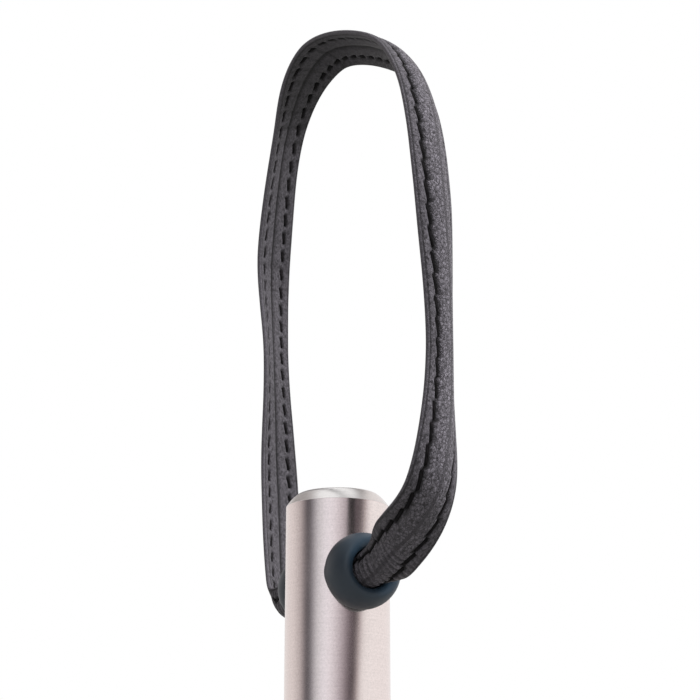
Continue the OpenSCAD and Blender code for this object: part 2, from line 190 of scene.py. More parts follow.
def arc(centre, radius, start, end, count):
    """Points of a round stretch of an outline, with angles in degrees."""
    angles = [math.radians(start + (end - start) * i / (count - 1)) for i in range(count)]
    return [(centre[0] + radius * math.cos(a), centre[1] + radius * math.sin(a)) for a in angles]


def turned(name, outline, steps=144):
    """A solid turned about Z.

    One vertex is extruded round the closed outline of (radius, height), which is then spun.
    """
    deselect()
    bpy.ops.mesh.primitive_plane_add(size=MM)
    obj = bpy.context.object
    obj.name = obj.data.name = name
    bpy.ops.object.mode_set(mode="EDIT")
    bpy.ops.mesh.select_mode(type="VERT")
    bpy.ops.mesh.merge(type="CENTER")
    bpy.ops.transform.translate(value=(outline[0][0], 0, outline[0][1]))
    for here, there in zip(outline, outline[1:] + outline[:1]):
        step = (there[0] - here[0], 0, there[1] - here[1])
        bpy.ops.mesh.extrude_region_move(TRANSFORM_OT_translate={"value": step})
    bpy.ops.mesh.select_all(action="SELECT")
    bpy.ops.mesh.spin(steps=steps, angle=TURN, center=(0, 0, 0), axis=(0, 0, 1))
    bpy.ops.mesh.select_all(action="SELECT")
    bpy.ops.mesh.remove_doubles(threshold=WELD)
    bpy.ops.mesh.normals_make_consistent(inside=False)
    bpy.ops.object.mode_set(mode="OBJECT")
    return obj


def modify(obj, kind, **settings):
    """Gives obj a modifier with its settings and applies it."""
    activate(obj)
    bpy.ops.object.modifier_add(type=kind)
    modifier = obj.modifiers[-1]
    for key, value in settings.items():
        setattr(modifier, key, value)
    bpy.ops.object.modifier_apply(modifier=modifier.name)


def cut(obj, cutter):
    """Cuts the cutter's shape out of obj and throws the cutter away."""
    modify(obj, "BOOLEAN", operation="DIFFERENCE", object=cutter)
    bpy.data.objects.remove(cutter)


def drill(obj, radius, centre, axis, depth):
    """Cuts a round hole through obj along an axis."""
    turn = {"X": (0, math.pi / 2, 0), "Y": (math.pi / 2, 0, 0), "Z": (0, 0, 0)}[axis]
    deselect()
    bpy.ops.mesh.primitive_cylinder_add(
        vertices=96, radius=radius, depth=depth, location=centre, rotation=turn)
    cut(obj, bpy.context.object)


def drill_for_pin(obj):
    """Drills the hole of the cross pin that holds the collar in the tube."""
    drill(obj, (PIN_HIGH.z - PIN_LOW.z) / 2, (0, 0, (PIN_LOW.z + PIN_HIGH.z) / 2), "X", 4 * TUBE_R)


def smooth(obj, degrees=35):
    """Shades obj smooth except over edges sharper than the angle."""
    activate(obj)
    bpy.ops.object.shade_smooth_by_angle(angle=math.radians(degrees))


def direction(heading, elevation):
    """The way from the origin at a heading round from straight ahead and an elevation."""
    return Vector((math.sin(heading) * math.cos(elevation),
                   -math.cos(heading) * math.cos(elevation), math.sin(elevation)))


def mesh_object(name, points, faces):
    """An object from points and faces worked out in code."""
    mesh = bpy.data.meshes.new(name)
    mesh.from_pydata([tuple(p) for p in points], [], faces)
    mesh.update()
    obj = bpy.data.objects.new(name, mesh)
    bpy.context.scene.collection.objects.link(obj)
    return obj


def set_uv(obj, name, coordinates):
    """Gives every vertex one place in a UV map, in metres along the surface."""
    layer = obj.data.uv_layers.new(name=name)
    corners = np.array([loop.vertex_index for loop in obj.data.loops])
    layer.data.foreach_set("uv", np.asarray(coordinates, np.float32)[corners].ravel())


def set_attribute(obj, name, values):
    """Gives every vertex a number that its material reads."""
    attribute = obj.data.attributes.new(name, "FLOAT", "POINT")
    attribute.data.foreach_set("value", np.asarray(values, np.float32))


def place(obj, body, material, replaced=()):
    """Gives a piece its material, the nodes that it stands for and the body that it rides on."""
    obj.data.materials.clear()
    obj.data.materials.append(material)
    if replaced:
        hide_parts(*replaced)
    if body:
        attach(obj, body)


def copies(name, template, matrices):
    """One object that holds a copy of the template's mesh at each matrix."""
    base = np.array([v.co for v in template.data.vertices])
    faces = [tuple(p.vertices) for p in template.data.polygons]
    points, all_faces = [], []
    for count, matrix in enumerate(matrices):
        m = np.array(matrix)
        points.append(base @ m[:3, :3].T + m[:3, 3])
        all_faces += [tuple(v + count * len(base) for v in f) for f in faces]
    bpy.data.objects.remove(template)
    return mesh_object(name, np.concatenate(points), all_faces)


# ---------------------------------------------------------------- materials

def connect(tree, node, inputs):
    """Sets a node's inputs: each is a value, a socket, or a node whose first live output feeds it."""
    for key, value in inputs.items():
        if isinstance(value, bpy.types.Node):
            value = next(output for output in value.outputs if output.enabled)
        if isinstance(value, bpy.types.NodeSocket):
            tree.links.new(value, node.inputs[key])
        else:
            node.inputs[key].default_value = value


def add(tree, kind, inputs=None, **settings):
    """Adds a shader node with its settings and its inputs."""
    made = tree.nodes.new("ShaderNode" + kind)
    for key, value in settings.items():
        setattr(made, key, value)
    connect(tree, made, inputs or {})
    return made


def start_material(name):
    """A new material, with its node tree and its shader."""
    material = bpy.data.materials.new(name)
    material.use_nodes = True
    return material, material.node_tree, material.node_tree.nodes["Principled BSDF"]


def rgba(rgb, factor=1.0):
    """A linear colour scaled by a factor, with full alpha."""
    return (*(min(1.0, c * factor) for c in rgb), 1.0)


FACTOR, FIRST, SECOND = 0, 6, 7      # a colour Mix node's sockets


def satin_steel(name, rgb, roughness):
    """Stainless steel ground round its axis: fine rings draw its reflections out along the tube."""
    material, tree, shader = start_material(name)
    place_of = add(tree, "TexCoord").outputs["Object"]
    # Grinding lines 0.3 mm apart and about 25 mm long, drawn coarser than the grit so that they show
    fine, long = 1 / (0.3 * MM), 1 / (25 * MM)
    rings = add(tree, "Mapping", {"Vector": place_of, "Scale": (long, long, fine)})
    ground = add(tree, "TexNoise", {"Vector": rings, "Scale": 1.0, "Detail": 4.0, "Roughness": 0.6})
    # Satin mottle 0.5 mm across and handling marks 14 mm across
    mottle = add(tree, "TexNoise", {"Vector": place_of, "Scale": 1 / (0.5 * MM), "Detail": 4.0})
    smudge = add(tree, "TexNoise", {"Vector": place_of, "Scale": 1 / (14 * MM), "Detail": 3.0})
    tone = add(tree, "Math", {0: ground, 1: 0.5, 2: mottle}, operation="MULTIPLY_ADD")
    shade = add(tree, "MapRange", {"Value": tone, "From Min": 0.5, "From Max": 1.0})
    wear_and_sheen = add(tree, "MapRange", {"Value": smudge, "From Min": 0.3, "From Max": 0.7,
                                  "To Min": roughness - 0.02, "To Max": roughness + 0.04})
    relief = add(tree, "Bump", {"Height": tone, "Strength": 0.1, "Distance": 0.015 * MM})
    connect(tree, shader, {
        "Base Color": add(tree, "Mix", {FACTOR: shade, FIRST: rgba(rgb, 0.92), SECOND: rgba(rgb, 1.05)},
                          data_type="RGBA"),
        "Roughness": wear_and_sheen, "Normal": relief, "Metallic": 1.0, "Anisotropic": 0.5,
        "Tangent": add(tree, "Tangent", direction_type="RADIAL", axis="Z")})
    return material


def moulded_rubber(name, rgb):
    """Matt moulded rubber: a faint even texture from the mould and a soft grey bloom."""
    material, tree, shader = start_material(name)
    place_of = add(tree, "TexCoord").outputs["Object"]
    # Spark-eroded mould texture 0.25 mm across
    texture = add(tree, "TexNoise", {"Vector": place_of, "Scale": 1 / (0.25 * MM), "Detail": 2.0})
    bloom = add(tree, "TexNoise", {"Vector": place_of, "Scale": 1 / (6 * MM), "Detail": 4.0})
    connect(tree, shader, {
        "Base Color": add(tree, "Mix", {FACTOR: bloom, FIRST: rgba(rgb, 0.75), SECOND: rgba(rgb, 1.3)},
                          data_type="RGBA"),
        "Roughness": add(tree, "MapRange", {"Value": bloom, "To Min": 0.4, "To Max": 0.56}),
        "Normal": add(tree, "Bump", {"Height": texture, "Strength": 0.12, "Distance": 0.03 * MM}),
        "Specular IOR Level": 0.5})
    return material


def finished_leather(name, rgb, wrinkle, uv_name):
    """Finished black leather: wrinkles and pores break up a dull shine; shade is painted into its hollows."""
    material, tree, shader = start_material(name)
    surface = add(tree, "UVMap", uv_map=uv_name)
    # Wrinkles, drawn a little longer along the strap than across it, and creases that wander between them
    scaled = add(tree, "Mapping", {"Vector": surface, "Scale": (1 / wrinkle, 0.8 / wrinkle, 1)})
    wrinkles = add(tree, "TexNoise", {"Vector": scaled, "Scale": 1.0, "Detail": 6.0, "Roughness": 0.68,
                                      "Distortion": 0.9})
    warp = add(tree, "TexNoise", {"Vector": scaled, "Scale": 0.5, "Detail": 2.0}).outputs["Color"]
    drawn = add(tree, "VectorMath", {0: scaled, 1: warp}, operation="ADD")
    edges = add(tree, "TexVoronoi", {"Vector": drawn, "Scale": 0.8}, feature="DISTANCE_TO_EDGE")
    creases = add(tree, "MapRange", {"Value": edges, "From Max": 0.1, "To Min": 1.0, "To Max": 0.0})
    # Pores 0.3 mm across and uneven dye in patches of 9 mm
    pores = add(tree, "TexNoise", {"Vector": surface, "Scale": 1 / (0.3 * MM), "Detail": 3.0})
    blotch = add(tree, "TexNoise", {"Vector": surface, "Scale": 1 / (9 * MM), "Detail": 3.0})
    # The mesh gives open grain, painted shade, and the lightening of wear and painted highlights
    grained = add(tree, "Attribute", attribute_name="grain").outputs["Fac"]
    painted_shade = add(tree, "Attribute", attribute_name="painted_shade").outputs["Fac"]
    wear_and_sheen = add(tree, "Attribute", attribute_name="wear_and_sheen").outputs["Fac"]
    # Painted shade and light: the colour is darker in the wrinkles' valleys and lighter on their tops
    contrast = add(tree, "MapRange", {"Value": wrinkles, "From Min": 0.41, "From Max": 0.58})
    lit_wrinkle_tops = add(tree, "Mix", {FACTOR: grained, FIRST: rgba(rgb, 0.3), SECOND: rgba(rgb, 3.3)},
                 data_type="RGBA")
    wrinkle_shade = add(tree, "Mix", {FACTOR: contrast, FIRST: rgba(rgb, 0.2), SECOND: lit_wrinkle_tops}, data_type="RGBA")
    uneven = add(tree, "Mix", {FACTOR: add(tree, "MapRange", {"Value": blotch, "To Max": 0.4}),
                               FIRST: wrinkle_shade, SECOND: rgba(rgb, 1.1)}, data_type="RGBA")
    # Painted shade: the wandering creases are darkened where the grain is open
    in_creases = add(tree, "Math", {0: creases, 1: grained}, operation="MULTIPLY")
    part_creased = add(tree, "Math", {0: in_creases, 1: contrast}, operation="MULTIPLY")
    creased = add(tree, "Mix", {FACTOR: part_creased, FIRST: uneven, SECOND: rgba(rgb, 0.25)},
                  data_type="RGBA")
    # Painted shade: the lines, creases and folds that the mesh marks are made nearly black
    hollow_shade = add(tree, "Mix", {FACTOR: painted_shade, FIRST: creased, SECOND: rgba(rgb, 0.05)}, data_type="RGBA")
    # Wear lightens the edges, and a painted highlight lightens the ridges beside the creases
    pale = add(tree, "Mix", {FACTOR: wear_and_sheen, FIRST: hollow_shade, SECOND: rgba(rgb, 3.5)}, data_type="RGBA")
    bumps = add(tree, "Math", {0: pores, 1: 0.3, 2: wrinkles}, operation="MULTIPLY_ADD")
    cracked = add(tree, "Math", {0: part_creased, 1: -0.5, 2: bumps}, operation="MULTIPLY_ADD")
    height = add(tree, "Math", {0: cracked, 1: grained}, operation="MULTIPLY")
    connect(tree, shader, {
        "Base Color": pale,
        "Roughness": add(tree, "MapRange", {"Value": pores, "To Min": 0.42, "To Max": 0.68}),
        "Normal": add(tree, "Bump", {"Height": height, "Strength": 0.9, "Distance": 0.35 * MM}),
        "Specular IOR Level": 0.3})
    return material


def twisted_thread(name, rgb, thickness):
    """Bonded twisted thread: slanting plies with a dull waxed shine."""
    material, tree, shader = start_material(name)
    place_of = add(tree, "TexCoord").outputs["Object"]
    # The plies show as slanting stripes, one for every two thicknesses of the thread
    slant = add(tree, "Mapping", {"Vector": place_of, "Rotation": (0.6, 0.5, 0.4)})
    wave = add(tree, "TexWave", {"Vector": slant, "Scale": 0.16 / thickness, "Distortion": 1.5})
    plies = wave.outputs["Fac"]
    connect(tree, shader, {
        "Base Color": add(tree, "Mix", {FACTOR: plies, FIRST: rgba(rgb, 0.5), SECOND: rgba(rgb, 1.6)},
                          data_type="RGBA"),
        "Roughness": add(tree, "MapRange", {"Value": plies, "To Min": 0.6, "To Max": 0.8}),
        "Normal": add(tree, "Bump", {"Height": plies, "Strength": 0.5, "Distance": 0.1 * thickness}),
        "Specular IOR Level": 0.1})
    return material


def plain_part(name, rgb, metallic, roughness, fine):
    """A part that is mostly hidden: an even finish with a faint texture of its own."""
    material, tree, shader = start_material(name)
    place_of = add(tree, "TexCoord").outputs["Object"]
    texture = add(tree, "TexNoise", {"Vector": place_of, "Scale": 1 / fine, "Detail": 3.0})
    connect(tree, shader, {
        "Base Color": add(tree, "Mix", {FACTOR: texture, FIRST: rgba(rgb, 0.85), SECOND: rgba(rgb, 1.15)},
                          data_type="RGBA"),
        "Roughness": add(tree, "MapRange", {"Value": texture, "To Min": roughness - 0.06,
                                            "To Max": roughness + 0.06}),
        "Normal": add(tree, "Bump", {"Height": texture, "Strength": 0.2, "Distance": 0.05 * MM}),
        "Metallic": metallic})
    return material


# ---------------------------------------------------------------- the strap's route

# Centre line about the cross hole in millimetres, with the turn of the strap's width in degrees
LOOP = [
    (0, -30, 2, -48), (1.5, -47.5, 14.5, 11), (3.5, -48.5, 43, 41), (-0.5, -54, 80.5, 27),
    (0, -44.5, 110.5, 28), (1.5, -21, 131, 33), (-1.5, 7.5, 141.5, 11), (-0.5, 33, 131, -33),
    (1, 47.5, 98.5, -29), (1.5, 46, 66.5, -41), (3, 46, 33.5, -24), (0, 33.5, 0, -30),
]
ROLL_R = 3.3 * MM                    # radius of the rolled gutter through the grommets
ROLLED_END = 14 * MM                 # length that stays rolled at each end
ROLLED_TURN = math.radians(-40)      # turn of the rolled gutter about the cross hole
OPENING = 22 * MM                    # length over which the gutter opens
FLAT_TURN = math.radians(22)         # half angle of the gutter along the loop
SAG_SHARE = 0.6                      # share of the gutter's depth that lies outside the route


def strap_route():
    """Every point of the route in metres, and the turn of the width in radians."""
    inner, throat, mouth = 0.5 * MM, MOUTH_Y - 8 * MM, MOUTH_Y - 1 * MM
    x, z = ROLL_R * math.sin(ROLLED_TURN), -ROLL_R * math.cos(ROLLED_TURN)
    start = [(x, -y, z, ROLLED_TURN) for y in (inner, throat, mouth)]
    middle = [(x * MM, y * MM, z * MM, math.radians(turn)) for x, y, z, turn in LOOP]
    end = [(x, y, z, ROLLED_TURN) for y in (mouth, throat, inner)]
    return np.array(start + middle + end)


def spline(route, s):
    """Points and slopes of the smooth curve through the route at parameters s."""
    knots = np.concatenate([[2 * route[0] - route[1]], route, [2 * route[-1] - route[-2]]])
    i = np.minimum(s.astype(int), len(route) - 2)
    t = (s - i)[:, None]
    a, b, c, d = (knots[i + k] for k in range(4))
    straight, square, cube = c - a, 2 * a - 5 * b + 4 * c - d, 3 * b - a - 3 * c + d
    points = (2 * b + straight * t + square * t ** 2 + cube * t ** 3) / 2
    slopes = (straight + 2 * square * t + 3 * cube * t ** 2) / 2
    return points, slopes


def ease(x):
    """Smooth step from 0 to 1."""
    c = np.clip(x, 0, 1)
    return c * c * (3 - 2 * c)


class StrapRoute:
    """The strap's frames: where a point across, along and above its middle lies."""

    def __init__(self, width):
        route = strap_route()
        s = np.linspace(0, len(route) - 1, 4000)
        points, slopes = spline(route, s)
        step = np.linalg.norm(np.diff(points[:, :3], axis=0), axis=1)
        self.run = np.concatenate([[0], np.cumsum(step)])
        self.length = self.run[-1]
        ahead = slopes[:, :3] / np.linalg.norm(slopes[:, :3], axis=1)[:, None]
        level = np.array([1.0, 0, 0]) - ahead[:, :1] * ahead
        level /= np.linalg.norm(level, axis=1)[:, None]
        turn = points[:, 3:]
        across = np.cos(turn) * level + np.sin(turn) * np.cross(ahead, level)
        from_end = np.minimum(self.run, self.length - self.run)
        rolled = 1 - ease((from_end - ROLLED_END) / OPENING)
        rolled_turn = width / 2 / ROLL_R
        half_turn = FLAT_TURN + (rolled_turn - FLAT_TURN) * rolled
        bend = np.linalg.norm(np.gradient(ahead, self.run, axis=0), axis=1)
        inward = np.cross(ahead, across)
        # Along the loop the route runs near the middle of the gutter's depth
        sag = (1 - rolled) * SAG_SHARE * width / 2 / FLAT_TURN * (1 - math.cos(FLAT_TURN))
        self.table = np.concatenate(
            [points[:, :3] + [0, 0, HOLE_Z] - sag[:, None] * inward, across, inward,
             (width / 2 / half_turn)[:, None], bend[:, None]], axis=1)

    def at(self, run):
        """Rows of centre, across, inward, gutter radius and bend at distances along the strap."""
        run = np.atleast_1d(run)
        return np.stack([np.interp(run, self.run, column) for column in self.table.T], axis=1)

    def points(self, run, u, h):
        """Places at u across and h towards the inner face, one for each entry."""
        rows = self.at(run)
        across, inward, radius = rows[:, 3:6], rows[:, 6:9], rows[:, 9]
        angle = u / radius
        lift = (radius - h)[:, None]
        return (rows[:, :3] + radius[:, None] * inward
                + lift * (np.sin(angle)[:, None] * across - np.cos(angle)[:, None] * inward))


# ---------------------------------------------------------------- operators

class CROP_OT_stage(bpy.types.Operator):
    """Adds the floor, the surrounding light and the camera"""
    bl_idname = "crop.stage"
    bl_label = "Stage"

    def execute(self, context):
        settings = context.scene.crop_stage
        self.floor(settings)
        self.surround(context, settings)
        self.lamp(context, "key_softbox", 75, 42, settings.key)
        self.lamp(context, "low_fill", 12, 1, settings.fill)
        self.camera(context, settings)
        return {"FINISHED"}

    def floor(self, settings):
        """A wide round floor just under the hanging keeper."""
        deselect()
        bpy.ops.mesh.primitive_circle_add(vertices=96, radius=60, fill_type="NGON")
        floor = bpy.context.object
        floor.name = "studio_floor"
        floor.data.transform(Matrix.Translation((0, 0, TONGUE_LOW.z - 0.5 * MM)))
        material, tree, shader = start_material("Painted studio floor")
        grit = add(tree, "TexNoise", {"Vector": add(tree, "TexCoord").outputs["Object"],
                                      "Scale": 1 / (3 * MM), "Detail": 2.0})
        pale = add(tree, "Mix", {FACTOR: grit, FIRST: rgba(settings.floor, 0.98),
                                 SECOND: rgba(settings.floor)}, data_type="RGBA")
        # The floor throws back less light than it shows, which keeps the undersides of the leather dark
        seen = add(tree, "LightPath").outputs["Is Camera Ray"]
        connect(tree, shader, {
            "Base Color": add(tree, "Mix", {FACTOR: seen, FIRST: rgba(settings.floor, 0.42), SECOND: pale},
                              data_type="RGBA"),
            "Roughness": 0.8, "Specular IOR Level": 0.2})
        floor.data.materials.append(material)

    def surround(self, context, settings):
        """Soft white light from all round, with dark flags that give the metal its long stripes."""
        world = bpy.data.worlds.new("Soft studio")
        context.scene.world = world
        world.use_nodes = True
        tree = world.node_tree
        heading = add(tree, "TexCoord").outputs["Generated"]
        turned_to = add(tree, "Mapping", {"Vector": heading, "Rotation": (0, 0, -settings.azimuth)})
        parts = add(tree, "SeparateXYZ", {0: turned_to}).outputs
        # Angle round from the camera, growing to the right, and a lean that is upright at the left flag
        back = add(tree, "Math", {0: parts[1], 1: -1.0}, operation="MULTIPLY")
        angle = add(tree, "Math", {0: parts[0], 1: back}, operation="ARCTAN2")
        level, lean, left_flag = 0.12, 1.63, math.radians(-68)
        height = add(tree, "Math", {0: parts[2], 1: level}, operation="SUBTRACT")
        held = add(tree, "Clamp", {"Value": height, "Min": -level, "Max": level})
        from_left = add(tree, "Math", {0: angle, 1: -lean, 2: left_flag * lean}, operation="MULTIPLY_ADD")
        leaned = add(tree, "Math", {0: held, 1: from_left, 2: angle}, operation="MULTIPLY_ADD")
        share = add(tree, "Math", {0: leaned, 1: 1 / TURN, 2: 0.5}, operation="MULTIPLY_ADD")
        ramp = add(tree, "ValToRGB", {"Fac": add(tree, "Math", {0: share}, operation="FRACT")})
        stops = [(-180, "#f6f3f2"), (-150, "#f2efee"), (-110, "#e7e2e1"), (-88, "#c4bebe"), (-78, "#908a8c"),
                 (-70, "#58555a"), (-62, "#6a686c"), (-55, "#a0a0a6"), (-45, "#d8dade"), (-28, "#f7f8ff"),
                 (-16, "#f5f4fa"), (-6, "#e1dde3"), (5, "#c4bec4"), (18, "#90868c"), (27, "#5e545a"),
                 (33, "#281e24"), (40, "#483c42"), (47, "#c6baba"), (54, "#ffffff"), (150, "#fbf8f8")]
        elements = ramp.color_ramp.elements
        while len(elements) < len(stops):
            elements.new(0.5)
        for element, (degrees, shade) in zip(elements, stops):
            element.position = degrees / 360 + 0.5
        for element, (degrees, shade) in zip(elements, stops):
            element.color = (*linear(shade), 1)
        # Overhead, where only the cap's shoulder reflects it: a soft box, a dark card at the right of its
        # middle and a grey one at its left. Each card ends softly along planes.
        white, right_side, left_side = (1, 1, 1, 1), (-0.83, -0.29, 0.48), (0.83, -0.29, 0.48)
        sky = white
        for plane, near, far, shade in ((right_side, 0.13, 0.06, "#5c5654"),
                                        (right_side, -0.04, -0.08, "#eee8e6"),
                                        (left_side, 0.12, -0.06, "#a09a98")):
            side = add(tree, "VectorMath", {0: turned_to, 1: plane}, operation="DOT_PRODUCT").outputs["Value"]
            within = add(tree, "MapRange", {"Value": side, "From Min": near, "From Max": far})
            sky = add(tree, "Mix", {FACTOR: within, FIRST: sky, SECOND: rgba(linear(shade))},
                      data_type="RGBA")
        overhead = add(tree, "MapRange", {"Value": parts[2], "From Min": 0.42, "From Max": 0.52})
        light = add(tree, "Mix", {FACTOR: overhead, FIRST: ramp, SECOND: sky}, data_type="RGBA")
        seen = add(tree, "LightPath").outputs["Is Camera Ray"]
        shown = add(tree, "Mix", {FACTOR: seen, FIRST: light, SECOND: white}, data_type="RGBA")
        connect(tree, tree.nodes["Background"], {"Color": shown, "Strength": settings.light})
        context.scene.view_settings.view_transform = "Standard"

    def lamp(self, context, name, heading, elevation, strength):
        """An even, soft light at degrees round from the camera, kept out of the metal's reflections."""
        way = direction(context.scene.crop_stage.azimuth + math.radians(heading), math.radians(elevation))
        deselect()
        bpy.ops.object.light_add(type="SUN", location=way, rotation=way.to_track_quat("Z", "Y").to_euler())
        lamp = context.object
        lamp.name = name
        # As wide as a soft box of one metre that stands 1.5 m away
        lamp.data.angle = math.radians(36)
        lamp.data.energy = strength
        lamp.visible_glossy = False
        lamp.visible_camera = False

    def camera(self, context, settings):
        """The camera, low and close, looking up at the butt and its loop."""
        data = bpy.data.cameras.new("camera")
        data.lens = settings.lens
        data.sensor_width = 36
        data.clip_start = 0.01
        camera = bpy.data.objects.new("camera", data)
        context.scene.collection.objects.link(camera)
        camera.location = settings.camera
        back = direction(settings.azimuth, settings.elevation)
        camera.rotation_euler = (-back).to_track_quat("-Z", "Y").to_euler()
        context.scene.camera = camera


class CROP_OT_tube(bpy.types.Operator):
    """Turns the handle tube, cuts its grip grooves and drills its cross holes"""
    bl_idname = "crop.tube"
    bl_label = "Handle tube"

    def execute(self, context):
        s = context.scene.crop_handle
        low, high, r, inner = TUBE_LOW.z, TUBE_HIGH.z, TUBE_R, TUBE_R - s.wall
        seam = s.edge / 3
        outline = [(inner, low), (r - s.edge, low), (r, low + s.edge)]
        floor = r - s.groove_depth
        for middle in (-(s.grip + s.groove_width) / 2, (s.grip + s.groove_width) / 2):
            near, far = middle - s.groove_width / 2, middle + s.groove_width / 2
            outline += [(r, near - s.edge), (r - s.edge, near), (floor, near + s.edge / 2),
                        (floor, far - s.edge / 2), (r - s.edge, far), (r, far + s.edge)]
        # Rings above and below the cross hole keep the cut's narrow faces behind the grommet's head
        ring = 0.95 * HEAD_R
        outline += [(r, HOLE_Z - ring), (r, HOLE_Z + ring), (r, high - seam), (r - seam, high), (inner, high)]
        outline += [(inner, HOLE_Z + ring), (inner, HOLE_Z - ring)]
        tube = turned("tube_satin_steel", outline, 192)
        drill(tube, s.hole / 2, (0, 0, HOLE_Z), "Y", 4 * r)
        drill_for_pin(tube)
        smooth(tube, 30)
        place(tube, "handle",
              satin_steel("Stainless tube, ground to a satin finish", s.steel, 0.16), ["handle_tube"])
        return {"FINISHED"}


class CROP_OT_cap(bpy.types.Operator):
    """Turns the butt cap with its rounded shoulder"""
    bl_idname = "crop.cap"
    bl_label = "Butt cap"

    def execute(self, context):
        s = context.scene.crop_handle
        low, rim, top, r = CAP_LOW.z, TUBE_HIGH.z, CAP_HIGH.z, TUBE_R
        rise, inset, seam = top - rim, 3 * MM, s.edge / 3
        chord = Vector((-inset, rise))
        middle = Vector((r - inset / 2, rim + rise / 2))
        sagitta = math.sqrt(s.shoulder ** 2 - chord.length_squared / 4)
        centre = middle - sagitta * Vector((chord.y, -chord.x)) / chord.length
        start = math.degrees(math.atan2(rim - centre.y, r - centre.x))
        end = math.degrees(math.atan2(top - centre.y, r - inset - centre.x))
        spigot = r - s.wall - PLAY
        shoulder = arc(centre, s.shoulder, start, end, 9)
        # The spigot, the seam on the tube's end, the shoulder and the flat top
        outline = ([(0, low), (spigot - s.edge, low), (spigot, low + s.edge), (spigot, rim)]
                   + [(r - seam, rim), (r - 0.4 * seam, rim + seam)] + shoulder[1:-1]
                   + [(r - inset - s.edge / 2, top - seam), (r - inset - 2 * s.edge, top), (0, top)])
        cap = turned("cap_turned_steel", outline, 192)
        smooth(cap, 30)
        place(cap, "handle",
              satin_steel("Stainless cap, lathe turned", s.cap_steel, 0.28), ["butt_cap"])
        return {"FINISHED"}


class CROP_OT_grommets(bpy.types.Operator):
    """Moulds the two rubber grommets round the tube's wall"""
    bl_idname = "crop.grommets"
    bl_label = "Grommets"

    def execute(self, context):
        s = context.scene.crop_handle
        rubber = moulded_rubber("Moulded rubber", s.rubber)
        for side, node in ((-1, "front_grommet"), (1, "rear_grommet")):
            grommet = self.mould(s, side, node + "_rubber")
            place(grommet, "handle", rubber, [node])
        return {"FINISHED"}

    def mould(self, s, side, name):
        """A ball-shaped head with a rounded mouth, and a neck and a lip that hold it in the tube's wall."""
        bore, inner = s.bore / 2, TUBE_R - s.wall
        middle = TUBE_R + s.head_stand
        lip_r = s.hole / 2 + s.lip_width
        rim = (bore + s.rim, middle + math.sqrt((HEAD_R - s.rim) ** 2 - (bore + s.rim) ** 2))
        crest = math.degrees(math.atan2(rim[1] - middle, rim[0]))
        foot = -math.degrees(math.acos(lip_r / HEAD_R))
        # The outline starts well inside the tube, and the last drilling leaves the lip's thickness
        start = 0.3 * TUBE_R
        outline = [(bore, start), (lip_r, start)]
        outline += arc((0, middle), HEAD_R, foot, crest, 16) + arc(rim, s.rim, crest, 180, 9)[1:]
        grommet = turned(name, outline, 120)
        grommet.data.transform(Matrix.Rotation(math.pi / 2, 4, "X"))
        if side > 0:
            grommet.data.transform(Matrix.Rotation(math.pi, 4, "Z"))
        grommet.data.transform(Matrix.Translation((0, 0, HOLE_Z)))
        past_head = 1.2 * HEAD_R
        low, high = HOLE_Z - past_head, HOLE_Z + past_head
        wall = turned("wall", [(inner, low), (TUBE_R, low), (TUBE_R, high), (inner, high)], 192)
        drill(wall, s.hole / 2, (0, 0, HOLE_Z), "Y", 4 * TUBE_R)
        cut(grommet, wall)
        drill(grommet, inner - s.lip, (0, 0, HOLE_Z), "Z", 4 * HEAD_R)
        smooth(grommet, 40)
        return grommet


